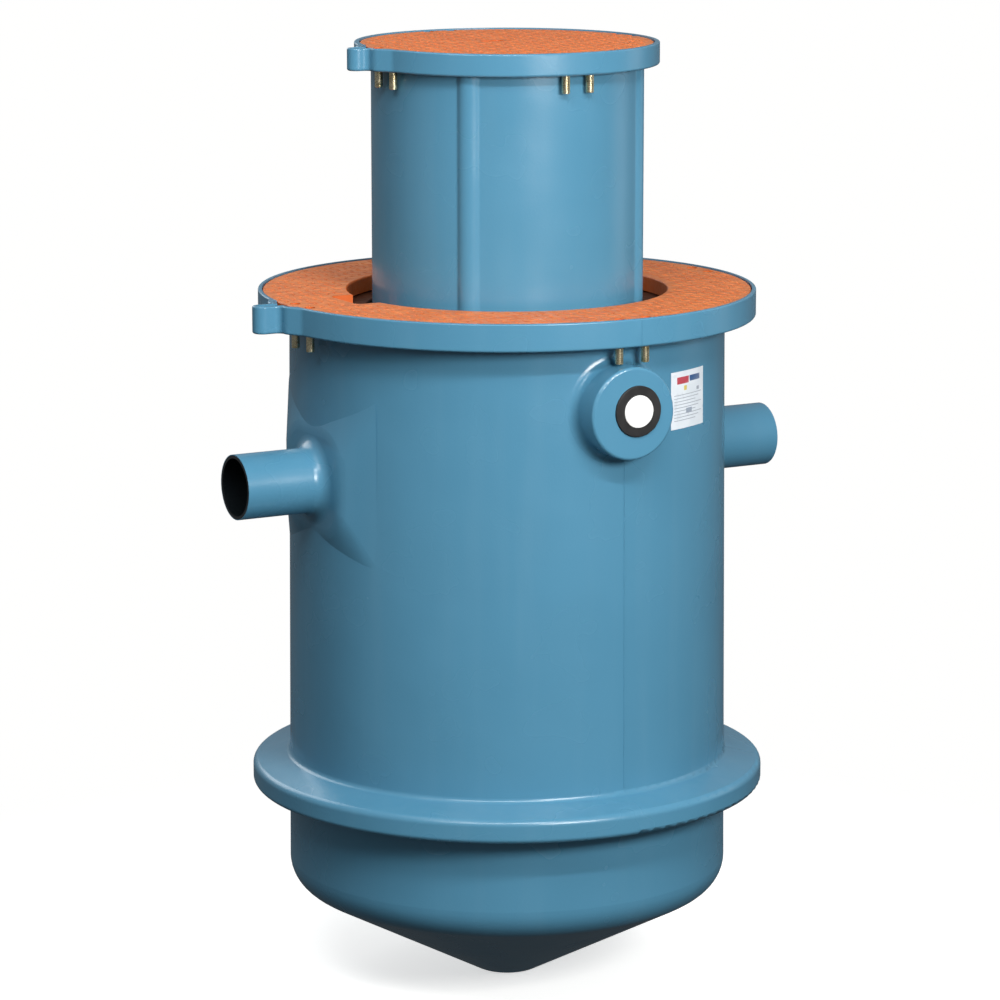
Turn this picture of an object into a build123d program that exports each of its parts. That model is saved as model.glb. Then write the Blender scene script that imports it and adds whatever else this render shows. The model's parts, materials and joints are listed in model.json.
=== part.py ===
from build123d import *
import os
from math import atan2, cos, degrees, hypot, radians, sin, sqrt, tan

# In-ground gravity separator tank with a cone bottom and a telescoping riser.
# Millimetres, +Z up. The origin is the centre of the small flat under the cone.
# The inlet and the pry lugs face -X, the outlet +X and the pump-out boss -Y.

# ---- Driving dimensions ----
WALL = 8.0  # moulded plastic wall
RIM_Z = 1256.0  # top of the tank's flange
BODY_TOP_R = 386.0  # the body flares slightly towards its foot
BODY_FOOT_R = 394.0
CONE_BREAK_Z = 184.0
FOOT_R = 50.0
COLLAR_R = 459.0
COLLAR_UNDER_Z = 361.0
COLLAR_EDGE_Z = 401.0
COLLAR_ROOT_Z = 417.0
FLANGE_R = 441.0
FLANGE_H = 48.0
RIM_WALL = 7.0

PIPE_R = 57.15  # 4 inch drain pipe, 114.3 across
PIPE_BORE_R = 50.65
PIPE_Z = 943.0
PIPE_REACH = 536.0
PAD_X = 389.0  # flat of the soft pads round the stubs
PAD_HALF_W = 102.0
PAD_HALF_H = 90.0
PAD_DEPTH = 40.0
PAD_FLANK_W = 69.0  # the pads' flanks widen by this over their depth
PAD_FLANK_H = 130.0
PAD_ROUND = 60.0
SEAM_TURN = 2.3  # degrees from -Y

BOSS_X = 2.0
BOSS_Z = 1094.4
BOSS_R = 80.0
BOSS_REACH = 440.0
PORT_X = 10.0  # the port isn't quite in the middle of its boss
PORT_Z = 1098.4
PORT_R = 30.15  # 2 inch pump-out pipe, 60.3 across
PORT_BORE_R = 25.0
PLUG_R = 27.8
PLUG_BACK_Y = -424.0
GROMMET_NECK_R = 38.0
GROMMET_FLANGE_R = 44.0
GROMMET_REACH = BOSS_REACH + 4
SUCTION_Y = -340.0
SUCTION_KNEE_Z = 250.0
SUCTION_SLOPE = 28.0  # degrees below level, along the cone

RISER_R = 239.0
RISER_FOOT_Z = 1100.0
RISER_TOP_Z = 1690.0
RISER_FLANGE_R = 268.0
RISER_FLANGE_H = 39.0
RISER_RIM_WALL = 8.5
BEAD_R = 24.0
BEAD_CENTRE_R = 223.5
BEAD_ANGLES = (45, 135, 225, 315)
BEAD_BLEND = 8.0

LOWER_LUG = (17.5, 39.0)  # a head's radius, and its centre beyond the flange's edge
UPPER_LUG = (16.0, 28.0)
LUG_WALL = 6.5
LUG_SHOULDER_HALF_W = 34.0
LUG_SHOULDER_OUT = 13.0
LUG_ROOT_HALF_W = 66.0
LUG_BLEND = 25.0
LUG_NECK_BLEND = 10.0

COVER_GAP = 1.5  # between a cover and the rim around it
COVER_DROP = 2.0  # a cover's top below the rim's top
COVER_PLATE = 12.0
EDGE = 1.5  # bevel round a cover's top
GASKET = 3.0
HOLE_R = 284.0  # hole in the ring cover
NOTCH_HALF_W = 53.0  # lets the riser's lug pass
NOTCH_REACH = 325.0
SEAT_FOOT = 8.0  # a bolt seat's or skirt's foot above the cover's own foot
LOWER_RECESS = 18.0  # depth of the pockets that the bolt heads sit in
UPPER_RECESS = 15.0
LIFT_PLACE = (-14.0, 28.0)  # lifting pocket in the round cover
LIFT_DEPTH = 14.0
LIFT_PIN_R = 3.0
LIFT_PIN_LENGTH = 30.0

BOLT_R = 4.0  # M8
BOLT_HEAD_R = 7.6
WASHER = 2.0
LOWER_BOLTS = (414.0, 26.0, (271.9, 183, 91.9, 3))  # line radius, half spacing and angles of the pairs
UPPER_BOLTS = (250.0, 23.5, (270, 184.7, 90, 4.7))
INSERT_R = 7.0
INSERT_DROP = 31.0
RECESS_R = 9.5
SEAT_R = 15.5

DROP_R = 313.0  # inlet and outlet drop pipes, from the tank's axis
LEDGE_Z = RIM_Z - FLANGE_H + WALL
RISER_LEDGE_Z = RISER_TOP_Z - RISER_FLANGE_H + WALL
WELL_R = FLANGE_R - RIM_WALL
RISER_WELL_R = RISER_FLANGE_R - RISER_RIM_WALL
SLEEVE_R = 249.0  # inner radius of the riser's guide sleeve
SLEEVE_FOOT_Z = 1112.0
SLEEVE_WALL = 8.0
ADAPTOR_R = 404.0
ADAPTOR_PLATE = 6.0
ADAPTOR_SCREW_LINE = 392.0
SEAL_Z = 1190.0
SEAL_H = 12.0
LOCK_SCREW_Z = 1150.0
BRACKET_Z = 640.0  # height of the three pipe brackets on the wall
LABEL_W = 99.0
LABEL_H = 100.0
LABEL_Z = 1094.0
LABEL_TURN = 25.2  # degrees from the pump-out boss
LABEL_THICK = 0.5


# ---- Shared helpers ----
def body_radius(z):
    """Outer radius of the tank's slightly tapered body at a height."""
    share = (z - CONE_BREAK_Z) / (RIM_Z - FLANGE_H - CONE_BREAK_Z)
    return BODY_FOOT_R + (BODY_TOP_R - BODY_FOOT_R) * share


def turned(outline):
    """Solid of revolution from (radius, height, corner radius) points, closed on the axis."""
    points = [(r, z) for r, z, _ in outline]
    radii = [corner for _, _, corner in outline[1:-1]]
    path = FilletPolyline(*points, radius=radii)
    axis = Line(points[-1], points[0])
    return revolve(Plane.XZ * make_face([*path.edges(), axis]), Axis.Z)


def ring_turned(outline):
    """Ring of revolution from (radius, height, corner radius) points off the axis."""
    points = [(r, z) for r, z, _ in outline]
    radii = [corner for _, _, corner in outline]
    path = FilletPolyline(*points, radius=radii, close=True)
    return revolve(Plane.XZ * make_face(path.edges()), Axis.Z)


def tube(outer, inner, low, high, x=0.0, y=0.0):
    """Upright tube between two heights."""
    section = Circle(outer) - Circle(inner)
    return Pos(x, y, low) * extrude(section, high - low)


def rod(radius, low, high, x=0.0, y=0.0):
    """Upright round bar between two heights."""
    return Pos(x, y, low) * extrude(Circle(radius), high - low)


def bar_x(radius, low, high, z):
    """Round bar along X between two places."""
    return extrude(Plane(origin=(low, 0, z), z_dir=(1, 0, 0)) * Circle(radius), high - low)


def bar_y(radius, low, high, x, z):
    """Round bar along Y between two places."""
    return extrude(Plane(origin=(x, low, z), z_dir=(0, 1, 0)) * Circle(radius), high - low)


def write(name, *solids):
    """Writes one sub-part, as one solid or as a group of separate solids."""
    pieces = [s for item in solids for s in item.solids()]
    shape = pieces[0] if len(pieces) == 1 else Compound(children=pieces)
    export_step(shape, f"parts/{name}.step")


def pair_places(bolts):
    """Places of the eight bolts, two in a line square to each pair's own radius."""
    line_r, half, angles = bolts
    places = []
    for angle in angles:
        for side in (-half, half):
            x = line_r * cos(radians(angle)) - side * sin(radians(angle))
            y = line_r * sin(radians(angle)) + side * cos(radians(angle))
            places.append((x, y))
    return places


def at_each(solid, places):
    """One copy of an upright solid at each place."""
    return [Pos(x, y, 0) * solid for x, y in places]


# ---- Moulded tank ----
def rounded_at(plate, x, half_w, radius):
    """Rounds the two upright edges of a plate at (x, half_w) and (x, -half_w)."""
    uprights = plate.edges().filter_by(Axis.Z)
    corners = [e for e in uprights if abs(e.center().X - x) < 0.5 and abs(abs(e.center().Y) - half_w) < 0.5]
    return fillet(corners, radius)


def flange(flange_r, lug, low, high):
    """Round flange with a two-lobed pry lug at -X, its lower and upper edges rounded."""
    head_r, head_out = lug
    head_x = -flange_r - head_out
    shoulder_x = -flange_r - LUG_SHOULDER_OUT
    root_x = -sqrt(flange_r ** 2 - LUG_ROOT_HALF_W ** 2)
    shoulder = Polyline(
        (0, 0), (root_x, LUG_ROOT_HALF_W), (shoulder_x, LUG_SHOULDER_HALF_W),
        (shoulder_x, -LUG_SHOULDER_HALF_W), (root_x, -LUG_ROOT_HALF_W), close=True,
    )
    plan = Circle(flange_r) + make_face(shoulder.edges())
    plan += Pos((head_x - flange_r) / 2, 0) * Rectangle(head_out, 2 * head_r)
    plan += Pos(head_x, 0) * Circle(head_r)
    plate = Pos(0, 0, low) * extrude(plan, high - low)
    plate = rounded_at(plate, shoulder_x, LUG_SHOULDER_HALF_W, LUG_BLEND)
    plate = rounded_at(plate, root_x, LUG_ROOT_HALF_W, LUG_BLEND)
    plate = rounded_at(plate, shoulder_x, head_r, LUG_NECK_BLEND)
    plate = fillet(plate.edges().group_by(Axis.Z)[0], 4)
    return fillet(plate.edges().group_by(Axis.Z)[-1], 2.5)


def pry_pocket(flange_r, lug, low, high):
    """Hollow of a lug, open to the well inside the flange."""
    head_r, head_out = lug
    half = head_r - LUG_WALL
    head_x = -flange_r - head_out
    plan = Pos(head_x, 0) * Circle(half)
    plan += Pos(head_x + (head_out + 20) / 2, 0) * Rectangle(head_out + 20, 2 * half)
    shoulder = Polyline(
        (-flange_r - 5, 30), (-flange_r - 5, -30), (-flange_r + 12, -44), (-flange_r + 12, 44), close=True,
    )
    plan += make_face(shoulder.edges())
    return Pos(0, 0, low) * extrude(plan, high - low)


def pad(side, inset):
    """Low pad round a stub, flat in the middle and sloping gently to the body all round."""
    front = Plane(origin=(side * (PAD_X - inset), 0, PIPE_Z), x_dir=(0, 1, 0), z_dir=(side, 0, 0))
    back = front.offset(-PAD_DEPTH)
    face = front * RectangleRounded(2 * PAD_HALF_W, 2 * PAD_HALF_H, 60)
    foot = back * RectangleRounded(2 * (PAD_HALF_W + PAD_FLANK_W), 2 * (PAD_HALF_H + PAD_FLANK_H), 90)
    block = loft([face, foot], ruled=True)
    if inset:
        return block
    return fillet(block.faces().sort_by(Axis.X)[-1 if side > 0 else 0].edges(), PAD_ROUND)


def tank_outside():
    under = RIM_Z - FLANGE_H
    core = turned([
        (0, 0, 0),
        (FOOT_R, 0, 40),
        (BODY_FOOT_R, CONE_BREAK_Z, 60),
        (body_radius(COLLAR_UNDER_Z), COLLAR_UNDER_Z, 7),
        (COLLAR_R, COLLAR_UNDER_Z, 9),
        (COLLAR_R, COLLAR_EDGE_Z, 12),
        (body_radius(COLLAR_ROOT_Z), COLLAR_ROOT_Z, 9),
        (BODY_TOP_R, under, 7),
        (FLANGE_R - 20, under, 0),
        (FLANGE_R - 20, RIM_Z, 0),
        (0, RIM_Z, 0),
    ])
    core += flange(FLANGE_R, LOWER_LUG, under, RIM_Z)
    core += pad(-1, 0) + pad(1, 0)
    core += bar_x(PIPE_R, -PIPE_REACH, PIPE_REACH, PIPE_Z)
    roots = [
        e for e in core.edges().filter_by(GeomType.CIRCLE)
        if abs(e.radius - PIPE_R) < 0.1 and abs(abs(e.center().X) - PAD_X) < 1
    ]
    core = fillet(roots, 22)
    core += bar_y(BOSS_R, -BOSS_REACH, -300, BOSS_X, BOSS_Z)
    face = [
        e for e in core.edges().filter_by(GeomType.CIRCLE)
        if abs(e.radius - BOSS_R) < 0.1 and abs(e.center().Y + BOSS_REACH) < 0.1
    ]
    core = fillet(face, 5)
    root = [
        e for e in core.edges().filter_by(GeomType.BSPLINE)
        if abs(e.center().X - BOSS_X) < 2 and -400 < e.center().Y < 0
        and abs(e.center().Z - BOSS_Z) <= BOSS_R + 1
    ]
    return fillet(root, 16)


def tank_inside():
    slope = CONE_BREAK_Z / (BODY_FOOT_R - FOOT_R)
    lift = WALL * sqrt(1 + slope * slope)
    inner_foot = BODY_FOOT_R - WALL
    core = turned([
        (0, WALL, 0),
        (FOOT_R - WALL * slope / 2, WALL, 30),
        (inner_foot, (inner_foot - FOOT_R) * slope + lift, 52),
        (body_radius(COLLAR_UNDER_Z) - WALL, COLLAR_UNDER_Z + WALL, 2),
        (COLLAR_R - WALL, COLLAR_UNDER_Z + WALL, 4),
        (COLLAR_R - WALL, COLLAR_EDGE_Z - WALL, 6),
        (body_radius(COLLAR_ROOT_Z) - WALL, COLLAR_ROOT_Z - WALL, 2),
        (BODY_TOP_R - WALL, LEDGE_Z, 0),
        (WELL_R, LEDGE_Z, 3),
        (WELL_R, RIM_Z + 10, 0),
        (0, RIM_Z + 10, 0),
    ])
    core += pad(-1, WALL) + pad(1, WALL)
    core += bar_x(PIPE_BORE_R, -PIPE_REACH - 1, PIPE_REACH + 1, PIPE_Z)
    core += bar_y(BOSS_R - WALL, -BOSS_REACH + WALL, -300, BOSS_X, BOSS_Z)
    core += bar_y(GROMMET_NECK_R, -BOSS_REACH - 1, -300, PORT_X, PORT_Z)
    return core + pry_pocket(FLANGE_R, LOWER_LUG, LEDGE_Z, RIM_Z + 10)


def parting_seam():
    """Thin witness line of the mould on the body and the flange, at -Y and +Y."""
    proud = 0.8
    side = body_radius(COLLAR_ROOT_Z) + proud
    outline = Polyline(
        (0, COLLAR_ROOT_Z + 12), (side, COLLAR_ROOT_Z + 12), (BODY_TOP_R + proud, RIM_Z - FLANGE_H),
        (FLANGE_R + proud, RIM_Z - FLANGE_H + 5), (FLANGE_R + proud, RIM_Z - 4), (0, RIM_Z - 4), close=True,
    )
    half = extrude(Plane.YZ * make_face(outline.edges()), 1.0, both=True)
    return Rotation(0, 0, SEAM_TURN) * (half + mirror(half, Plane.XZ))


def tank_body():
    shell = tank_outside() + parting_seam() - tank_inside()
    for hole in at_each(rod(INSERT_R - 1.5, LEDGE_Z - 20, LEDGE_Z + 1), pair_places(LOWER_BOLTS)):
        shell -= hole
    return shell


# ---- Covers and their fasteners ----
def notch(half_w, reach, low, high):
    """Block that cuts or fills the ring cover's notch at -X, with rounded outer corners."""
    length = reach - 200
    plan = Rectangle(length, 2 * half_w)
    plan = fillet([v for v in plan.vertices() if v.X < 0], 12)
    return Pos(-(reach - length / 2), 0, low) * extrude(plan, high - low)


def lower_cover():
    top = RIM_Z - COVER_DROP
    foot = LEDGE_Z + GASKET
    outer = WELL_R - COVER_GAP
    under = top - COVER_PLATE
    skirt = 10.0
    plate = ring_turned([
        (HOLE_R, under, 0),
        (outer, under, 0),
        (outer, top - EDGE, 0),
        (outer - EDGE, top, 0),
        (HOLE_R, top, 2.5),
    ])
    rim = tube(outer, ADAPTOR_R + 1.5, foot, under)
    hole_wall = tube(HOLE_R + skirt, HOLE_R, foot + SEAT_FOOT, under)
    notch_wall = notch(NOTCH_HALF_W + skirt, NOTCH_REACH + skirt, foot + SEAT_FOOT, under)
    notch_wall -= rod(HOLE_R, foot, top)
    cover = plate + rim + hole_wall + notch_wall
    for step in range(16):
        rib = Pos((HOLE_R + outer) / 2, 0, (foot + SEAT_FOOT + under) / 2)
        rib *= Box(outer - HOLE_R - skirt, 6, under - foot - SEAT_FOOT)
        cover += Rotation(0, 0, 11.25 + 22.5 * step) * rib
    for seat in at_each(rod(SEAT_R, foot + SEAT_FOOT, under), pair_places(LOWER_BOLTS)):
        cover += seat & tube(outer, HOLE_R, foot, top)
    cover -= notch(NOTCH_HALF_W, NOTCH_REACH, foot - 1, top + 1)
    for recess in at_each(rod(RECESS_R, top - LOWER_RECESS, top + 1), pair_places(LOWER_BOLTS)):
        cover -= recess
    for hole in at_each(rod(BOLT_R + 0.5, foot - 1, top), pair_places(LOWER_BOLTS)):
        cover -= hole
    return cover


def upper_cover():
    top = RISER_TOP_Z - COVER_DROP
    foot = RISER_LEDGE_Z + GASKET
    outer = RISER_WELL_R - COVER_GAP
    under = top - COVER_PLATE
    cover = turned([
        (0, under, 0),
        (outer, under, 0),
        (outer, top - EDGE, 0),
        (outer - EDGE, top, 0),
        (0, top, 0),
    ])
    cover += tube(outer, outer - 24, foot, under)
    for step in range(6):
        rib = Pos(0, 0, (foot + 4 + under) / 2) * Box(2 * outer - 20, 6, under - foot - 4)
        cover += Rotation(0, 0, 15 + 30 * step) * rib
    for seat in at_each(rod(SEAT_R, foot, under), pair_places(UPPER_BOLTS)):
        cover += seat & rod(outer, foot, top)
    for recess in at_each(rod(RECESS_R, top - UPPER_RECESS, top + 1), pair_places(UPPER_BOLTS)):
        cover -= recess
    for hole in at_each(rod(BOLT_R + 0.5, foot - 1, top), pair_places(UPPER_BOLTS)):
        cover -= hole
    pocket_wall = Pos(*LIFT_PLACE, top - LIFT_DEPTH - 4) * extrude(SlotOverall(58, 34), LIFT_DEPTH)
    pocket = Pos(*LIFT_PLACE, top - LIFT_DEPTH) * extrude(SlotOverall(46, 22), LIFT_DEPTH + 1)
    return cover + pocket_wall - pocket - upper_lift_pin()


def upper_lift_pin():
    """Pin across the lifting pocket, held in the cover at both ends."""
    x, y = LIFT_PLACE
    place = Pos(x, y - LIFT_PIN_LENGTH / 2, RISER_TOP_Z - COVER_DROP - 2 * LIFT_PIN_R)
    return place * Rotation(-90, 0, 0) * extrude(Circle(LIFT_PIN_R), LIFT_PIN_LENGTH)


def cover_gasket(outer, inner, ledge_z, bolts):
    ring = tube(outer, inner, ledge_z, ledge_z + GASKET)
    for hole in at_each(rod(BOLT_R + 1, ledge_z - 1, ledge_z + GASKET + 1), pair_places(bolts)):
        ring -= hole
    return ring


def cover_bolts(bolts, seat_z, foot_z):
    """Hex flange bolts, each one solid, standing on their washers."""
    skirt = Cone(BOLT_HEAD_R, 6.6, 2, align=(Align.CENTER, Align.CENTER, Align.MIN))
    skirt = Pos(0, 0, seat_z + WASHER) * skirt
    hexagon = Pos(0, 0, seat_z + WASHER + 2) * extrude(RegularPolygon(6.5, 6, major_radius=False), 5)
    dimple = rod(4.5, seat_z + WASHER + 6, seat_z + WASHER + 8)
    shank = rod(BOLT_R, foot_z, seat_z + WASHER + 1)
    return at_each(skirt + hexagon + shank - dimple, pair_places(bolts))


def cover_washers(bolts, seat_z):
    return at_each(tube(BOLT_HEAD_R + 0.5, BOLT_R + 0.3, seat_z, seat_z + WASHER), pair_places(bolts))


def threaded_inserts(bolts, ledge_z):
    """Round brass inserts moulded into the flange, hanging below it."""
    under = ledge_z - WALL
    low = under - INSERT_DROP
    barrel = rod(INSERT_R, low, under)
    barrel = chamfer(barrel.edges().group_by(Axis.Z)[0], 0.8)
    barrel += rod(INSERT_R - 1.5, under, ledge_z)
    barrel -= rod(BOLT_R + 0.05, low - 1, ledge_z + 1)
    return at_each(barrel, pair_places(bolts))


# ---- Riser and what guides it ----
def riser_section(extra):
    """Outer plan of the riser with its four guide beads, or that plan grown by a clearance."""
    plan = Circle(RISER_R + extra)
    for angle in BEAD_ANGLES:
        place = Pos(BEAD_CENTRE_R * cos(radians(angle)), BEAD_CENTRE_R * sin(radians(angle)))
        plan += place * Circle(BEAD_R + extra)
    valleys = [v for v in plan.vertices() if abs(hypot(v.X, v.Y) - RISER_R - extra) < 0.5]
    return fillet(valleys, BEAD_BLEND - extra)


def riser():
    under = RISER_TOP_Z - RISER_FLANGE_H
    inner = RISER_R - WALL
    core = Pos(0, 0, RISER_FOOT_Z) * extrude(riser_section(0), under + 1 - RISER_FOOT_Z)
    core += flange(RISER_FLANGE_R, UPPER_LUG, under, RISER_TOP_Z)
    core -= rod(inner, RISER_FOOT_Z - 1, RISER_TOP_Z + 1)
    core -= rod(RISER_WELL_R, RISER_LEDGE_Z, RISER_TOP_Z + 1)
    core -= pry_pocket(RISER_FLANGE_R, UPPER_LUG, RISER_LEDGE_Z, RISER_TOP_Z + 1)
    for hole in at_each(rod(INSERT_R - 1.5, under - 1, RISER_LEDGE_Z + 1), pair_places(UPPER_BOLTS)):
        core -= hole
    return core


def riser_adaptor():
    """Deck ring on the ledge with a long sleeve that keeps the riser upright."""
    low = LEDGE_Z + 2
    top = low + ADAPTOR_PLATE
    outer = SLEEVE_R + SLEEVE_WALL
    ring = ring_turned([
        (SLEEVE_R, SLEEVE_FOOT_Z, 1), (outer, SLEEVE_FOOT_Z, 2), (outer, low, 6), (ADAPTOR_R, low, 1),
        (ADAPTOR_R, top, 2), (SLEEVE_R, top, 3),
    ])
    for step in range(12):
        ring += Rotation(0, 0, 15 + 30 * step) * Pos(SLEEVE_R + 41, 0, low - 21.5) * Box(74, 6, 45)
    ring -= tube(SLEEVE_R + 4, SLEEVE_R - 1, SEAL_Z, SEAL_Z + SEAL_H)
    for bolt in riser_lock_places():
        ring -= bolt * extrude(Circle(5), 30, both=True)
    for hole in at_each(rod(3.2, low - 1, top + 1), adaptor_screw_places()):
        ring -= hole
    return ring


def adaptor_screw_places():
    angles = [radians(30 * step + 15) for step in range(12)]
    return [(ADAPTOR_SCREW_LINE * cos(a), ADAPTOR_SCREW_LINE * sin(a)) for a in angles]


def adaptor_gasket():
    ring = tube(ADAPTOR_R, BODY_TOP_R - WALL, LEDGE_Z, LEDGE_Z + 2)
    for hole in at_each(rod(3.2, LEDGE_Z - 1, LEDGE_Z + 3), adaptor_screw_places()):
        ring -= hole
    return ring


def adaptor_screws():
    top = LEDGE_Z + 2 + ADAPTOR_PLATE
    head = Pos(0, 0, top) * Cone(7, 5, 3, align=(Align.CENTER, Align.CENTER, Align.MIN))
    cross = Pos(0, 0, top + 2) * (Box(6, 1.5, 4) + Box(1.5, 6, 4))
    shank = rod(3, LEDGE_Z + 0.05, top)
    return at_each(head - cross + shank, adaptor_screw_places())


def riser_seal():
    """Rubber lip ring in the sleeve's groove, notched for the riser's beads."""
    return Pos(0, 0, SEAL_Z) * extrude(Circle(SLEEVE_R + 4) - riser_section(0.4), SEAL_H)


def riser_lock_places():
    """Planes along four radial screws through the sleeve, square to the tank's main directions."""
    places = []
    for angle in (0, 90, 180, 270):
        out = (cos(radians(angle)), sin(radians(angle)), 0)
        place = (SLEEVE_R * out[0], SLEEVE_R * out[1], LOCK_SCREW_Z)
        places.append(Plane(origin=place, z_dir=out))
    return places


def riser_lock_screws():
    tip = RISER_R + 0.4 - SLEEVE_R
    screw = Pos(0, 0, tip) * extrude(Circle(4.95), 26)
    screw += Pos(0, 0, 10) * extrude(RegularPolygon(7.5, 6, major_radius=False), 6)
    return [plane * screw for plane in riser_lock_places()]


# ---- Pump-out port and its suction line ----
def pump_out_grommet():
    """Rubber ring whose groove grips the boss's wall."""
    sleeve = bar_y(GROMMET_NECK_R, -GROMMET_REACH, -402, PORT_X, PORT_Z)
    outer = bar_y(GROMMET_FLANGE_R, -GROMMET_REACH, -BOSS_REACH, PORT_X, PORT_Z)
    outer = fillet(outer.edges().group_by(Axis.Y)[0], 1.5)
    inner = bar_y(GROMMET_FLANGE_R, -BOSS_REACH + WALL, -BOSS_REACH + WALL + 8, PORT_X, PORT_Z)
    ring = sleeve + outer + inner - bar_y(PLUG_R + 0.05, -GROMMET_REACH - 1, -390, PORT_X, PORT_Z)
    return ring - bar_y(PORT_R + 0.05, PLUG_BACK_Y, -390, PORT_X, PORT_Z)


def pump_out_plug():
    """White push-in plug, slightly domed, with a hollow back."""
    body = bar_y(PLUG_R, -GROMMET_REACH - 1.5, PLUG_BACK_Y, PORT_X, PORT_Z)
    body = fillet(body.edges().group_by(Axis.Y)[0], 1.2)
    body = chamfer(body.edges().group_by(Axis.Y)[-1], 2)
    return body - bar_y(PLUG_R - 5, -438, PLUG_BACK_Y + 1, PORT_X, PORT_Z)


def pipe_run(outer, inner, *points, bend=60.0):
    """Pipe along straight runs joined by tangent arcs."""
    radii = [bend] * (len(points) - 2)
    path = FilletPolyline(*points, radius=radii) if radii else Line(*points)
    start = Plane(origin=path @ 0, z_dir=path % 0)
    return sweep(start * (Circle(outer) - Circle(inner)), path=path)


def on_slope(run):
    """A place on the tail pipe's axis, a horizontal run in from the knee."""
    return (PORT_X, SUCTION_Y + run, SUCTION_KNEE_Z - run * tan(radians(SUCTION_SLOPE)))


def suction_line():
    """The five pieces of the suction pipe, from the boss to the bottom of the cone."""
    top = (PORT_X, SUCTION_Y, PORT_Z)
    knee = (PORT_X, SUCTION_Y, SUCTION_KNEE_Z)
    low = SUCTION_KNEE_Z + 70
    high = PORT_Z - 100
    socket = PORT_R + 5
    elbow = pipe_run(PORT_R, PORT_BORE_R, (PORT_X, -422, PORT_Z), top, (PORT_X, SUCTION_Y, high))
    elbow += tube(socket, PORT_R, high - 30, high + 10, PORT_X, SUCTION_Y)
    down = tube(PORT_R - 0.05, PORT_BORE_R, low, high, PORT_X, SUCTION_Y)
    bend = pipe_run(PORT_R, PORT_BORE_R, (PORT_X, SUCTION_Y, low), knee, on_slope(62))
    bend += tube(socket, PORT_R, low - 10, low + 30, PORT_X, SUCTION_Y)
    bend += pipe_run(socket, PORT_R, on_slope(52), on_slope(88))
    tail = pipe_run(PORT_R - 0.05, PORT_BORE_R, on_slope(62), on_slope(262))
    end = on_slope(310)
    foot = pipe_run(PORT_R, PORT_BORE_R, on_slope(262), end, (PORT_X, end[1], end[2] - 45), bend=45)
    foot += pipe_run(socket, PORT_R, on_slope(240), on_slope(270))
    return elbow, down, bend, tail, foot


# ---- Inlet and outlet pipework inside the tank ----
def wall_bracket(side, z, centre_r, pipe_r, turn=0.0):
    """Saddle clamp round a pipe, standing off the tank's wall."""
    ring = tube(pipe_r + 6, pipe_r, z - 20, z + 20, side * centre_r, 0)
    wall_r = body_radius(z) - WALL - 0.3
    block = Pos(side * (centre_r + pipe_r + 30), 0, z) * Box(60, 50, 40)
    block = block & rod(wall_r, z - 30, z + 30)
    plate = Pos(side * wall_r, 0, z) * Box(24, 90, 60)
    plate = plate & tube(wall_r, wall_r - 5, z - 40, z + 40)
    bracket = ring + block + plate - rod(pipe_r, z - 40, z + 40, side * centre_r, 0)
    return Rotation(0, 0, turn) * bracket


def drop_tee(side):
    """Tee whose branch plugs into the stub; the barrel is open at the top as a vent."""
    x = side * DROP_R
    barrel = rod(PIPE_R, 850, 1050, x)
    barrel += rod(PIPE_R + 6, 842, 892, x)
    barrel += rod(PIPE_R + 4, 1036, 1050, x)
    low, high = sorted((x, side * 435))
    barrel += bar_x(PIPE_BORE_R - 0.1, low, high, PIPE_Z)
    barrel += bar_x(PIPE_R + 4, *sorted((x, side * 378)), PIPE_Z)
    barrel -= rod(PIPE_BORE_R, 890, 1051, x)
    barrel -= rod(PIPE_R, 841, 890, x)
    return barrel - bar_x(44.5, *sorted((x, side * 436)), PIPE_Z)


def inlet_flow_plate():
    """Orifice plate that limits the flow into the tank."""
    disc = bar_x(44.4, -405, -401, PIPE_Z)
    return disc - bar_x(25, -406, -400, PIPE_Z)


def inlet_diffuser():
    """Closed cap with tall slots that spreads the flow sideways."""
    cap = rod(PIPE_R + 6, 430, 560, -DROP_R)
    cap = fillet(cap.edges().group_by(Axis.Z)[0], 8)
    cap -= rod(PIPE_R, 520, 561, -DROP_R)
    cap -= rod(PIPE_R - 6, 438, 521, -DROP_R)
    for step in range(8):
        slot = Pos(PIPE_R, 0, 479) * Box(30, 16, 62)
        cap -= Pos(-DROP_R, 0, 0) * Rotation(0, 0, 22.5 + 45 * step) * slot
    return cap


# ---- Label ----
def tank_label():
    """Thin label bonded to the tapered body, right of the boss."""
    low = LABEL_Z - LABEL_H / 2
    high = LABEL_Z + LABEL_H / 2
    base = [(body_radius(low), low), (body_radius(low) + LABEL_THICK, low)]
    base += [(body_radius(high) + LABEL_THICK, high), (body_radius(high), high)]
    spread = degrees(LABEL_W / body_radius(LABEL_Z))
    sector = revolve(Plane.XZ * make_face(Polyline(*base, close=True).edges()), Axis.Z, spread)
    return Rotation(0, 0, -90 + LABEL_TURN - spread / 2) * sector


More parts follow.
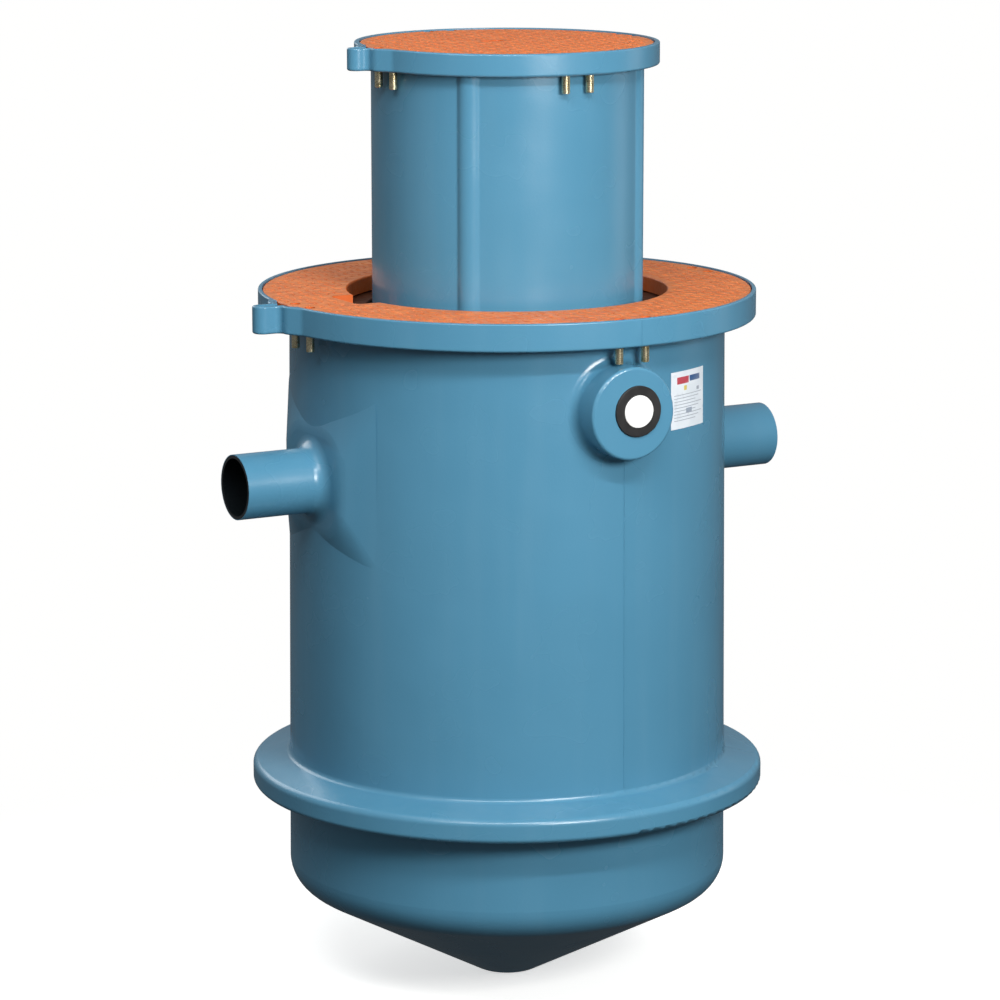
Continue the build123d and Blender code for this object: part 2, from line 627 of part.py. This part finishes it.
def main():
    os.makedirs("parts", exist_ok=True)
    write("tank_body", tank_body())
    write("lower_inserts", *threaded_inserts(LOWER_BOLTS, LEDGE_Z))
    write("lower_cover_gasket", cover_gasket(WELL_R - 4, ADAPTOR_R + 1, LEDGE_Z, LOWER_BOLTS))
    write("lower_cover", lower_cover())
    seat = RIM_Z - COVER_DROP - LOWER_RECESS
    write("lower_cover_washers", *cover_washers(LOWER_BOLTS, seat))
    write("lower_cover_bolts", *cover_bolts(LOWER_BOLTS, seat, LEDGE_Z - WALL - INSERT_DROP + 6))

    write("riser", riser())
    write("upper_inserts", *threaded_inserts(UPPER_BOLTS, RISER_LEDGE_Z))
    gasket = cover_gasket(RISER_WELL_R - 1, RISER_R - WALL, RISER_LEDGE_Z, UPPER_BOLTS)
    write("upper_cover_gasket", gasket)
    write("upper_cover", upper_cover())
    write("upper_lift_pin", upper_lift_pin())
    seat = RISER_TOP_Z - COVER_DROP - UPPER_RECESS
    write("upper_cover_washers", *cover_washers(UPPER_BOLTS, seat))
    write("upper_cover_bolts", *cover_bolts(UPPER_BOLTS, seat, RISER_LEDGE_Z - WALL - INSERT_DROP + 6))

    write("riser_adaptor", riser_adaptor())
    write("adaptor_gasket", adaptor_gasket())
    write("adaptor_screws", *adaptor_screws())
    write("riser_seal", riser_seal())
    write("riser_lock_screws", *riser_lock_screws())

    write("pump_out_grommet", pump_out_grommet())
    write("pump_out_plug", pump_out_plug())
    names = ("elbow", "down_pipe", "lower_bend", "tail_pipe", "foot")
    for name, piece in zip(names, suction_line()):
        write(f"pump_out_{name}", piece)
    turn = 90 + degrees(atan2(PORT_X, -SUCTION_Y))
    write("pump_out_bracket", wall_bracket(-1, BRACKET_Z, hypot(PORT_X, SUCTION_Y), PORT_R, turn))

    write("inlet_tee", drop_tee(-1))
    write("inlet_flow_plate", inlet_flow_plate())
    write("inlet_drop_pipe", tube(PIPE_R - 0.05, PIPE_BORE_R, 520, 890, -DROP_R))
    write("inlet_diffuser", inlet_diffuser())
    write("inlet_bracket", wall_bracket(-1, BRACKET_Z, DROP_R, PIPE_R))
    write("outlet_tee", drop_tee(1))
    write("outlet_drop_pipe", tube(PIPE_R - 0.05, PIPE_BORE_R, 300, 890, DROP_R))
    write("outlet_bracket", wall_bracket(1, BRACKET_Z, DROP_R, PIPE_R))
    write("tank_label", tank_label())


main()
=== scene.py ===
"""Looks of the cone-bottom separator tank: finishes, cover treads, label artwork, light and camera."""

import bpy
import json
from math import atan2, cos, hypot, pi, radians, sin
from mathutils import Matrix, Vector


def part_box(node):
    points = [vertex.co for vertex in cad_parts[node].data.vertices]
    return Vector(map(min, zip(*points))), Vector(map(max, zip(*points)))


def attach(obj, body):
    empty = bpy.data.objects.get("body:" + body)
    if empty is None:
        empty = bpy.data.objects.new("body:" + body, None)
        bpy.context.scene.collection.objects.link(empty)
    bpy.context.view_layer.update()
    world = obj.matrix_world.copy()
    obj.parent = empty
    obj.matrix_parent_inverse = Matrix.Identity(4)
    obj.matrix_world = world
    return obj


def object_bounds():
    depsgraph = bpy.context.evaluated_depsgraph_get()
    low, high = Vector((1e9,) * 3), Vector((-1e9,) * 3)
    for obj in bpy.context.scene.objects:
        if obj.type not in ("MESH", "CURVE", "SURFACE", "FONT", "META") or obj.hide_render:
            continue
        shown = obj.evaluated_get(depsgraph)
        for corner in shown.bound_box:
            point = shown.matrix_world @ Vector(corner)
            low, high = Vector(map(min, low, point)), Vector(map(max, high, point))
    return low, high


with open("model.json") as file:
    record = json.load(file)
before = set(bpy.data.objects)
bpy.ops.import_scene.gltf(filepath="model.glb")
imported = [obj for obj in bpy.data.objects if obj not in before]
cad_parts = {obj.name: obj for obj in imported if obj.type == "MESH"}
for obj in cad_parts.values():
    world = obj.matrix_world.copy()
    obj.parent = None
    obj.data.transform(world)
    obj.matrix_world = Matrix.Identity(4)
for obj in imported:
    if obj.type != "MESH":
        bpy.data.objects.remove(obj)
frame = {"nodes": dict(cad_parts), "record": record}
cad_low, cad_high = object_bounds()
nodes = frame["nodes"]

# ---- Camera, in the frame's metres and degrees ----
CAMERA_AZIMUTH = -28.85  # 0 looks along +Y
CAMERA_ELEVATION = 11.37
CAMERA_DISTANCE = 7.407
CAMERA_AIM_Z = 0.869
CAMERA_LENS = 148.9
CAMERA_SHIFT_X = -0.007
CAMERA_CLIP_END = 100

# ---- Base colours, linear ----
BLUE = (0.078, 0.246, 0.378)
BLUE_DEEP = (0.072, 0.232, 0.358)
BLUE_CHALK = (0.135, 0.300, 0.420)
ORANGE = (0.800, 0.245, 0.062)
ORANGE_DEEP = (0.560, 0.135, 0.030)
ORANGE_PALE = (0.880, 0.410, 0.180)
# painted shade: deep red-orange for the covers' walls, sides and recesses
ORANGE_PAINTED_SHADE = (0.620, 0.110, 0.010)
# painted shade: near black for the inside of the stubs' bores
BORE_PAINTED_SHADE = (0.006, 0.009, 0.011)
BRASS = (0.800, 0.710, 0.480)
BRASS_DULL = (0.480, 0.400, 0.220)
STEEL = (0.450, 0.450, 0.455)
STEEL_DULL = (0.360, 0.360, 0.370)
RUBBER = (0.012, 0.012, 0.013)
RUBBER_WORN = (0.024, 0.023, 0.023)
BLACK_PLASTIC = (0.010, 0.010, 0.011)
BLACK_WORN = (0.016, 0.016, 0.018)
# painted shade: the adaptor is coloured the dark red-brown of the cover's shaded hole wall
ADAPTOR_PAINTED_SHADE = (0.075, 0.020, 0.006)
ADAPTOR_SHADE_PATCH = (0.105, 0.030, 0.010)
PIPE_WHITE = (0.700, 0.700, 0.680)
PIPE_AGED = (0.620, 0.620, 0.590)
PLUG_WHITE = (0.880, 0.885, 0.870)
PLUG_AGED = (0.830, 0.840, 0.835)
LABEL_WHITE = (0.760, 0.810, 0.860)
LABEL_TINT = (0.690, 0.745, 0.800)
PRINT_RED = (0.480, 0.050, 0.075)
PRINT_BLUE = (0.030, 0.095, 0.245)
PRINT_YELLOW = (0.640, 0.520, 0.110)
PRINT_GREY = (0.300, 0.350, 0.430)

# ---- Anti-slip tread on the covers, metres ----
TREAD_PITCH = 0.019
TREAD_LENGTH = 0.0175
TREAD_WIDTH = 0.0050
TREAD_HEIGHT = 0.0008
TREAD_SINK = 0.0004
TREAD_TURN = radians(-7)
TREAD_STRAY = radians(9)  # most a bar turns off its row
TREAD_CLEAR = 0.62  # flat reach a bar needs round its centre, in bar lengths
FLAT_TOLERANCE = 0.0002
COVER_FACE_DEPTH = (0.006, 0.003)  # depths where a cover goes from the painted shade of its walls and recesses to its face's colour

# ---- Stub bores' painted shade, in shares of the stub's outer radius ----
BORE_EDGE = (0.965, 0.99)

# ---- Label print ----
MARK_STEPS = 6  # flats round the curve of one mark
MARK_PROUD = 0.00018  # metres above the film
MARK_SUNK = 0.00010
PRINT_LINES = 9
PRINT_LINE_TOP = 0.58  # the lines' sizes are shares of the label's width and height
PRINT_LINE_PITCH = 0.055
PRINT_LINE_HEIGHT = 0.012
LABEL_MARKS = (  # name, left, right, bottom, top, ink
    ("label_block_red", 0.16, 0.50, 0.78, 0.90, "red"),
    ("label_block_blue", 0.53, 0.86, 0.80, 0.90, "blue"),
    ("label_mark_yellow", 0.36, 0.44, 0.66, 0.74, "yellow"),
    ("label_patch_right", 0.76, 0.84, 0.62, 0.68, "grey"),
    ("label_patch_low", 0.42, 0.60, 0.26, 0.34, "grey"),
)

# ---- Floor and surroundings ----
FLOOR_COLOUR = (0.92, 0.92, 0.91, 1)
FLOOR_GLOW = 0.62
FLOOR_NEAR = 0.25  # metres from the tank's axis where the fade starts
FLOOR_FADE = 1.5  # metres from the tank's axis to plain white
FLOOR_REACH = 30.0
FLOOR_DROP = 0.0005
STUDIO_WHITE = (1, 1, 0.995, 1)
SKY_COLOUR = (0.93, 0.97, 1.0, 1)
SKY_STRENGTH = 0.32
SKY_UNDER = 0.28  # strength from below, as a share of the strength from above

# ---- Lights ----
PLAIN_LIGHT = (1, 1, 1)
WARM_LIGHT = (1.0, 0.985, 0.96)
LIGHTS = (  # name, azimuth, elevation, distance, width, height, watts, colour
    ("key", 0, 20, 4.0, 1.4, 0.8, 110, WARM_LIGHT),
    ("strip", -14, 42, 4.0, 2.0, 0.16, 60, PLAIN_LIGHT),
    ("front_fill", -50, 42, 5.0, 1.6, 1.6, 56, PLAIN_LIGHT),
    ("top_fill", -85, 65, 4.5, 2.0, 2.0, 16, PLAIN_LIGHT),
    ("side_fill", 80, 15, 4.5, 1.5, 3.0, 10, PLAIN_LIGHT),
    ("back_fill", 190, 30, 5.0, 3.0, 3.0, 60, PLAIN_LIGHT),
)


# ---- Node helpers ----
def new_material(name, roughness, metallic=0.0, specular=0.5):
    """A material, its node tree and its shader, with the shader's plain values set."""
    material = bpy.data.materials.new(name)
    material.use_nodes = True
    shader = material.node_tree.nodes["Principled BSDF"]
    shader.inputs["Roughness"].default_value = roughness
    shader.inputs["Metallic"].default_value = metallic
    shader.inputs["Specular IOR Level"].default_value = specular
    return material, material.node_tree, shader


def add(tree, kind, **values):
    """A node, with inputs and settings given by name."""
    node = tree.nodes.new(kind)
    for name, value in values.items():
        label = name.replace("_", " ")
        if label in node.inputs:
            node.inputs[label].default_value = value
        else:
            setattr(node, name, value)
    return node


def noise(tree, scale, detail=3.0, stretch=(1, 1, 1), turn=0.0, roughness=0.5):
    """Noise over the piece's own coordinates, scaled by axis and turned about Z."""
    place = add(tree, "ShaderNodeTexCoord")
    mapping = add(tree, "ShaderNodeMapping")
    mapping.inputs["Scale"].default_value = stretch
    mapping.inputs["Rotation"].default_value = (0, 0, turn)
    texture = add(tree, "ShaderNodeTexNoise", Scale=scale, Detail=detail, Roughness=roughness)
    tree.links.new(place.outputs["Object"], mapping.inputs["Vector"])
    tree.links.new(mapping.outputs["Vector"], texture.inputs["Vector"])
    return texture.outputs["Fac"]


def ramp(tree, factor, low, high, start=0.0, end=1.0):
    """Factor moved to start where it is at low and to end where it is at high."""
    node = add(tree, "ShaderNodeMapRange", interpolation_type="SMOOTHSTEP")
    node.inputs["From Min"].default_value = low
    node.inputs["From Max"].default_value = high
    node.inputs["To Min"].default_value = start
    node.inputs["To Max"].default_value = end
    tree.links.new(factor, node.inputs["Value"])
    return node.outputs["Result"]


def mix(tree, factor, a, b):
    """Colour between a and b, each a colour or another node's output."""
    node = add(tree, "ShaderNodeMix", data_type="RGBA")
    tree.links.new(factor, node.inputs["Factor"])
    for socket, value in ((node.inputs[6], a), (node.inputs[7], b)):
        if isinstance(value, tuple):
            socket.default_value = (*value, 1)
        else:
            tree.links.new(value, socket)
    return node.outputs[2]


def bump(tree, height, distance, strength, under=None):
    """Bump from a height, laid over another bump where one is given."""
    node = add(tree, "ShaderNodeBump", Strength=strength, Distance=distance)
    tree.links.new(height, node.inputs["Height"])
    if under:
        tree.links.new(under, node.inputs["Normal"])
    return node.outputs["Normal"]


def upward(tree):
    """How far the surface faces up, from 0 to 1."""
    geometry = add(tree, "ShaderNodeNewGeometry")
    split = add(tree, "ShaderNodeSeparateXYZ")
    tree.links.new(geometry.outputs["Normal"], split.inputs["Vector"])
    return ramp(tree, split.outputs["Z"], 0.55, 0.98)


def product(tree, a, b):
    """One factor times another."""
    node = add(tree, "ShaderNodeMath", operation="MULTIPLY")
    tree.links.new(a, node.inputs[0])
    tree.links.new(b, node.inputs[1])
    return node.outputs[0]


def own_height(tree, low, high):
    """0 below a height of the frame and 1 above another."""
    place = add(tree, "ShaderNodeTexCoord")
    split = add(tree, "ShaderNodeSeparateXYZ")
    tree.links.new(place.outputs["Object"], split.inputs["Vector"])
    return ramp(tree, split.outputs["Z"], low, high)


def off_stub_axis(tree):
    """0 in the stubs' bore and on their end rings, where the bore's shade is painted, 1 on their outside and
    everywhere else.
    """
    stub = next(row for row in frame["record"]["mounts"] if row["name"] == "inlet_stub")
    radius = stub["dims"]["r_mm"] / 1000
    place = add(tree, "ShaderNodeTexCoord")
    from_axis = add(tree, "ShaderNodeVectorMath", operation="SUBTRACT")
    from_axis.inputs[1].default_value = (0, 0, stub["pos_m"][2])
    flat = add(tree, "ShaderNodeVectorMath", operation="MULTIPLY")
    flat.inputs[1].default_value = (0, 1, 1)
    length = add(tree, "ShaderNodeVectorMath", operation="LENGTH")
    tree.links.new(place.outputs["Object"], from_axis.inputs[0])
    tree.links.new(from_axis.outputs[0], flat.inputs[0])
    tree.links.new(flat.outputs[0], length.inputs[0])
    return ramp(tree, length.outputs["Value"], BORE_EDGE[0] * radius, BORE_EDGE[1] * radius)


# ---- Finishes ----
def blue_shell():
    """Rotationally moulded polyethylene: satin, faintly mottled, with the mould's orange peel, and painted
    shade in the stubs' bores.
    """
    material, tree, shader = new_material("moulded_blue", 0.28, specular=0.6)
    mottle = ramp(tree, noise(tree, 4, 2), 0.30, 0.70)
    colour = mix(tree, mottle, BLUE_DEEP, BLUE)
    flow = ramp(tree, noise(tree, 5, 2, stretch=(4, 4, 0.35)), 0.45, 0.80, 0, 0.14)
    colour = mix(tree, flow, colour, BLUE_CHALK)
    speck = ramp(tree, noise(tree, 520, 2), 0.62, 0.80, 0, 0.16)
    colour = mix(tree, speck, colour, BLUE_CHALK)
    dust = product(tree, upward(tree), ramp(tree, noise(tree, 38, 6), 0.38, 0.75, 0, 0.12))
    colour = mix(tree, dust, colour, BLUE_CHALK)
    # Painted shade: the stubs' bores and the inner part of their end rings are painted near black.
    colour = mix(tree, off_stub_axis(tree), BORE_PAINTED_SHADE, colour)
    tree.links.new(colour, shader.inputs["Base Color"])
    tree.links.new(ramp(tree, noise(tree, 9, 2), 0.3, 0.75, 0.23, 0.29), shader.inputs["Roughness"])
    wave = bump(tree, noise(tree, 5.5, 2), 0.006, 0.35)
    peel = bump(tree, noise(tree, 260, 2), 0.0004, 0.30, wave)
    tree.links.new(peel, shader.inputs["Normal"])
    return material


def orange_cover(node):
    """Fibre-filled orange composite with drawn-out streaks and a fine grain, with painted shade on its walls
    and in its recesses.
    """
    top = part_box(node)[1].z
    material, tree, shader = new_material(f"fibre_orange_{node}", 0.52)
    drawn = noise(tree, 16, 6, stretch=(1, 9, 3), turn=TREAD_TURN, roughness=0.62)
    colour = mix(tree, ramp(tree, drawn, 0.36, 0.66), ORANGE_DEEP, ORANGE)
    strands = noise(tree, 60, 4, stretch=(1, 8, 4), turn=-TREAD_TURN, roughness=0.7)
    colour = mix(tree, ramp(tree, strands, 0.52, 0.74, 0, 0.75), colour, ORANGE_PALE)
    blotch = ramp(tree, noise(tree, 30, 5), 0.52, 0.72, 0, 0.45)
    colour = mix(tree, blotch, colour, ORANGE_DEEP)
    # Painted shade: everything below the top or not facing up, such as walls, recess floors, the notch and
    # the tread bars' flanks, is painted deep red-orange.
    raised = own_height(tree, top - COVER_FACE_DEPTH[0], top - COVER_FACE_DEPTH[1])
    face = product(tree, upward(tree), raised)
    colour = mix(tree, face, ORANGE_PAINTED_SHADE, colour)
    tree.links.new(colour, shader.inputs["Base Color"])
    tree.links.new(ramp(tree, noise(tree, 70, 4), 0.3, 0.7, 0.42, 0.64), shader.inputs["Roughness"])
    grain = bump(tree, noise(tree, 300, 4), 0.0006, 0.6)
    fibres = bump(tree, noise(tree, 90, 4, stretch=(1, 8, 4), turn=-TREAD_TURN), 0.0008, 0.5, grain)
    tree.links.new(fibres, shader.inputs["Normal"])
    return material


def metal(name, colour, tint, roughness, scale, stretch):
    """Turned or rolled metal with fine scratches along one direction and patchy tarnish."""
    material, tree, shader = new_material(name, roughness, metallic=1.0)
    tarnish = ramp(tree, noise(tree, 90, 5), 0.4, 0.7)
    tree.links.new(mix(tree, tarnish, colour, tint), shader.inputs["Base Color"])
    scratch = noise(tree, scale, 4, stretch=stretch)
    gloss = ramp(tree, scratch, 0.3, 0.7, roughness - 0.07, roughness + 0.14)
    tree.links.new(gloss, shader.inputs["Roughness"])
    tree.links.new(bump(tree, scratch, 0.0002, 0.4), shader.inputs["Normal"])
    return material


def soft_or_plain(name, colour, tint, roughness, grain_scale, grain_depth, specular=0.5):
    """Rubber or plastic: slightly uneven colour and gloss over a fine moulded grain."""
    material, tree, shader = new_material(name, roughness, specular=specular)
    patch = ramp(tree, noise(tree, 28, 5), 0.38, 0.7)
    tree.links.new(mix(tree, patch, colour, tint), shader.inputs["Base Color"])
    gloss = ramp(tree, noise(tree, 45, 4), 0.3, 0.7, roughness - 0.06, roughness + 0.10)
    tree.links.new(gloss, shader.inputs["Roughness"])
    tree.links.new(bump(tree, noise(tree, grain_scale, 3), grain_depth, 0.5), shader.inputs["Normal"])
    return material


def printed(name, colour):
    """Ink on the label's film, with the paper grain of a thermal print."""
    tint = tuple(0.75 * c + 0.12 for c in colour)
    return soft_or_plain(name, colour, tint, 0.35, 900, 0.00004)


def make_finishes():
    """Finishes by slot; the covers have one each, by node, because their tops differ in height."""
    return {
        "blue_shell": blue_shell(),
        "lower_cover": orange_cover("lower_cover"),
        "upper_cover": orange_cover("upper_cover"),
        "black_rubber": soft_or_plain("rubber", RUBBER, RUBBER_WORN, 0.55, 420, 0.0003, 0.35),
        "brass": metal("brass", BRASS, BRASS_DULL, 0.26, 300, (1, 1, 9)),
        "stainless": metal("stainless", STEEL, STEEL_DULL, 0.30, 420, (1, 6, 1)),
        # Painted shade: the riser adaptor gets the dark red-brown of the shaded orange hole wall, with patchy
        # tone.
        "adaptor_plastic": soft_or_plain("adaptor_painted_shade", ADAPTOR_PAINTED_SHADE, ADAPTOR_SHADE_PATCH, 0.6, 380, 0.0002, 0.2),
        "black_plastic": soft_or_plain("black_plastic", BLACK_PLASTIC, BLACK_WORN, 0.55, 380, 0.0002, 0.35),
        "white_pipe": soft_or_plain("pipe_white", PIPE_WHITE, PIPE_AGED, 0.30, 240, 0.0001),
        "white_plug": soft_or_plain("plug_white", PLUG_WHITE, PLUG_AGED, 0.40, 500, 0.0001),
        "label": soft_or_plain("label_film", LABEL_WHITE, LABEL_TINT, 0.32, 700, 0.00005),
    }


def paint_nodes(finishes):
    """Gives every CAD node its own finish, or else the finish of its slot."""
    for row in frame["record"]["subparts"]:
        mesh = nodes[row["node"]].data
        mesh.materials.clear()
        mesh.materials.append(finishes.get(row["node"]) or finishes[row["material_slot"]])


# ---- New pieces ----
def mesh_piece(name, verts, faces, material, body):
    """A new mesh that rides on a body and counts as one slot."""
    mesh = bpy.data.meshes.new(name)
    mesh.from_pydata(verts, [], faces)
    mesh.materials.append(material)
    mesh.update()
    piece = bpy.data.objects.new(name, mesh)
    bpy.context.scene.collection.objects.link(piece)
    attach(piece, body)


def lozenge(centre, turn, z):
    """One raised bar with pointed ends and sloping flanks, as points and faces."""
    rings = ((1.0, z - TREAD_SINK), (0.92, z + 0.55 * TREAD_HEIGHT), (0.62, z + TREAD_HEIGHT))
    outline = ((-0.5, 0), (-0.28, -0.5), (0.28, -0.5), (0.5, 0), (0.28, 0.5), (-0.28, 0.5))
    verts = []
    for share, height in rings:
        for along, across in outline:
            u = along * (TREAD_LENGTH - (1 - share) * TREAD_WIDTH)
            v = across * TREAD_WIDTH * share
            x = centre[0] + u * cos(turn) - v * sin(turn)
            y = centre[1] + u * sin(turn) + v * cos(turn)
            verts.append((x, y, height))
    count = len(outline)
    faces = [tuple(range(count - 1, -1, -1)), tuple(range(2 * count, 3 * count))]
    for ring in range(2):
        for i in range(count):
            a, b = ring * count + i, ring * count + (i + 1) % count
            faces.append((a, b, b + count, a + count))
    return verts, faces


def flat_under(cover, x, y, reach, z):
    """True where the cover's top is flat for a reach all round the place."""
    for step in range(9):
        out = 0 if step == 8 else reach
        place = Vector((x + out * cos(step * pi / 4), y + out * sin(step * pi / 4), z + 0.05))
        hit, point, _, _ = cover.ray_cast(place, Vector((0, 0, -1)))
        if not hit or abs(point.z - z) > FLAT_TOLERANCE:
            return False
    return True


def tread(node, body, name, material):
    """Checkered rows of raised bars over the flat of a cover's top."""
    low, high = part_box(node)
    reach = (high.x - low.x) / 2
    clear = TREAD_LENGTH * TREAD_CLEAR
    count = int(reach / TREAD_PITCH) + 2
    verts, faces = [], []
    for row in range(-count, count + 1):
        for column in range(-count, count + 1):
            u, v = row * TREAD_PITCH, column * TREAD_PITCH
            x = u * cos(TREAD_TURN) - v * sin(TREAD_TURN)
            y = u * sin(TREAD_TURN) + v * cos(TREAD_TURN)
            if hypot(x, y) > reach or not flat_under(nodes[node], x, y, clear, high.z):
                continue
            stray = TREAD_STRAY * sin(12.9 * row + 78.2 * column)
            turn = TREAD_TURN + stray + (pi / 4 if (row + column) % 2 else -pi / 4)
            points, sides = lozenge((x, y), turn, high.z)
            faces += [tuple(len(verts) + i for i in side) for side in sides]
            verts += points
    mesh_piece(name, verts, faces, material, body)


# ---- Label artwork ----
def label_frame():
    """The label's span: angles, heights and the radius of its outer face at each height."""
    points = [v.co for v in nodes["tank_label"].data.vertices]
    angles = [atan2(p.y, p.x) for p in points]
    low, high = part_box("tank_label")
    foot_r = max(hypot(p.x, p.y) for p in points if p.z < low.z + 0.001)
    head_r = max(hypot(p.x, p.y) for p in points if p.z > high.z - 0.001)
    return min(angles), max(angles), low.z, high.z, foot_r, head_r


def label_mark(name, left, right, bottom, top, material):
    """Thin printed patch, in shares of the label's width and height."""
    start, end, low, high, foot_r, head_r = label_frame()
    verts = []
    for side in (-MARK_SUNK, MARK_PROUD):
        for share_v in (bottom, top):
            radius = foot_r + (head_r - foot_r) * share_v + side
            for step in range(MARK_STEPS + 1):
                angle = start + (end - start) * (left + (right - left) * step / MARK_STEPS)
                verts.append((radius * cos(angle), radius * sin(angle), low + (high - low) * share_v))
    row = MARK_STEPS + 1
    faces = []
    for i in range(MARK_STEPS):
        faces.append((i, i + row, i + row + 1, i + 1))
        faces.append((2 * row + i, 2 * row + i + 1, 3 * row + i + 1, 3 * row + i))
        faces.append((i, i + 1, 2 * row + i + 1, 2 * row + i))
        faces.append((row + i, 3 * row + i, 3 * row + i + 1, row + i + 1))
    faces.append((0, 2 * row, 3 * row, row))
    faces.append(tuple(ring * row + MARK_STEPS for ring in (0, 1, 3, 2)))
    mesh_piece(name, verts, faces, material, "tank")


def label_artwork():
    """Blank print: two colour blocks, one small mark, ruled lines and two dark patches, no lettering."""
    inks = {
        "red": printed("print_red", PRINT_RED),
        "blue": printed("print_blue", PRINT_BLUE),
        "yellow": printed("print_yellow", PRINT_YELLOW),
        "grey": printed("print_grey", PRINT_GREY),
    }
    for name, left, right, bottom, top, ink in LABEL_MARKS:
        label_mark(name, left, right, bottom, top, inks[ink])
    for line in range(PRINT_LINES):
        bottom = PRINT_LINE_TOP - PRINT_LINE_PITCH * line
        right = 0.92 - 0.10 * (line % 3)
        label_mark(f"label_line_{line + 1}", 0.08, right, bottom, bottom + PRINT_LINE_HEIGHT, inks["grey"])


# ---- Stage, light and camera ----
def around(azimuth, elevation, distance, centre):
    """A place round a centre; azimuth 0 is on the -Y side and 90 on the +X side."""
    a, e = radians(azimuth), radians(elevation)
    return centre + distance * Vector((sin(a) * cos(e), -cos(a) * cos(e), sin(e)))


def area_light(name, azimuth, elevation, distance, width, height, power, colour):
    """A rectangular light that faces the middle of the tank's height."""
    centre = Vector((0, 0, 0.5 * (cad_low.z + cad_high.z)))
    light = bpy.data.lights.new(name, "AREA")
    light.shape = "RECTANGLE"
    light.size, light.size_y = width, height
    light.energy = power
    light.color = colour
    lamp = bpy.data.objects.new(name, light)
    lamp.location = around(azimuth, elevation, distance, centre)
    lamp.rotation_euler = (centre - lamp.location).to_track_quat("-Z", "Y").to_euler()
    bpy.context.scene.collection.objects.link(lamp)


def floor():
    """Plain pale floor under the cone's foot, fading to white, that throws no light on the tank."""
    material, tree, shader = new_material("floor", 0.9, specular=0.0)
    shader.inputs["Base Color"].default_value = FLOOR_COLOUR
    shader.inputs["Emission Color"].default_value = STUDIO_WHITE
    shader.inputs["Emission Strength"].default_value = FLOOR_GLOW
    place = add(tree, "ShaderNodeTexCoord")
    length = add(tree, "ShaderNodeVectorMath", operation="LENGTH")
    tree.links.new(place.outputs["Object"], length.inputs[0])
    away = ramp(tree, length.outputs["Value"], FLOOR_NEAR, FLOOR_FADE)
    white = add(tree, "ShaderNodeEmission", Color=STUDIO_WHITE, Strength=1.0)
    blend = add(tree, "ShaderNodeMixShader")
    tree.links.new(away, blend.inputs["Fac"])
    tree.links.new(shader.outputs["BSDF"], blend.inputs[1])
    tree.links.new(white.outputs["Emission"], blend.inputs[2])
    tree.links.new(blend.outputs["Shader"], tree.nodes["Material Output"].inputs["Surface"])
    mesh = bpy.data.meshes.new("floor")
    corners = ((-1, -1), (1, -1), (1, 1), (-1, 1))
    verts = [(x * FLOOR_REACH, y * FLOOR_REACH, cad_low.z - FLOOR_DROP) for x, y in corners]
    mesh.from_pydata(verts, [], [(0, 1, 2, 3)])
    mesh.materials.append(material)
    ground = bpy.data.objects.new("floor", mesh)
    bpy.context.scene.collection.objects.link(ground)
    ground.visible_diffuse = False
    ground.visible_glossy = False


def surroundings():
    """White to the camera; dim, and dimmer from below, as light on the object."""
    world = bpy.data.worlds.new("studio")
    bpy.context.scene.world = world
    world.use_nodes = True
    tree = world.node_tree
    tree.nodes.clear()
    place = add(tree, "ShaderNodeTexCoord")
    split = add(tree, "ShaderNodeSeparateXYZ")
    tree.links.new(place.outputs["Generated"], split.inputs["Vector"])
    height = ramp(tree, split.outputs["Z"], -0.5, 0.6, SKY_UNDER, 1.0)
    fill = add(tree, "ShaderNodeBackground", Color=SKY_COLOUR)
    strength = ramp(tree, height, 0, 1, 0, SKY_STRENGTH)
    tree.links.new(strength, fill.inputs["Strength"])
    seen = add(tree, "ShaderNodeBackground", Color=STUDIO_WHITE, Strength=1.0)
    path = add(tree, "ShaderNodeLightPath")
    blend = add(tree, "ShaderNodeMixShader")
    out = add(tree, "ShaderNodeOutputWorld")
    tree.links.new(path.outputs["Is Camera Ray"], blend.inputs["Fac"])
    tree.links.new(fill.outputs[0], blend.inputs[1])
    tree.links.new(seen.outputs[0], blend.inputs[2])
    tree.links.new(blend.outputs[0], out.inputs["Surface"])


def camera():
    """A long lens on the front left, looking slightly down."""
    aim = Vector((0, 0, CAMERA_AIM_Z))
    data = bpy.data.cameras.new("camera")
    data.lens = CAMERA_LENS
    data.shift_x = CAMERA_SHIFT_X
    data.clip_end = CAMERA_CLIP_END
    eye = bpy.data.objects.new("camera", data)
    eye.location = around(CAMERA_AZIMUTH, CAMERA_ELEVATION, CAMERA_DISTANCE, aim)
    eye.rotation_euler = (aim - eye.location).to_track_quat("-Z", "Y").to_euler()
    bpy.context.scene.collection.objects.link(eye)
    bpy.context.scene.camera = eye


def studio():
    """Everything round the tank, and how the picture's colours are shown."""
    surroundings()
    floor()
    for row in LIGHTS:
        area_light(*row)
    camera()
    bpy.context.scene.view_settings.view_transform = "Standard"
    bpy.context.scene.view_settings.look = "None"


def main():
    finishes = make_finishes()
    paint_nodes(finishes)
    tread("lower_cover", "ring_cover", "lower_cover_tread", finishes["lower_cover"])
    tread("upper_cover", "round_cover", "upper_cover_tread", finishes["upper_cover"])
    label_artwork()
    studio()


main()
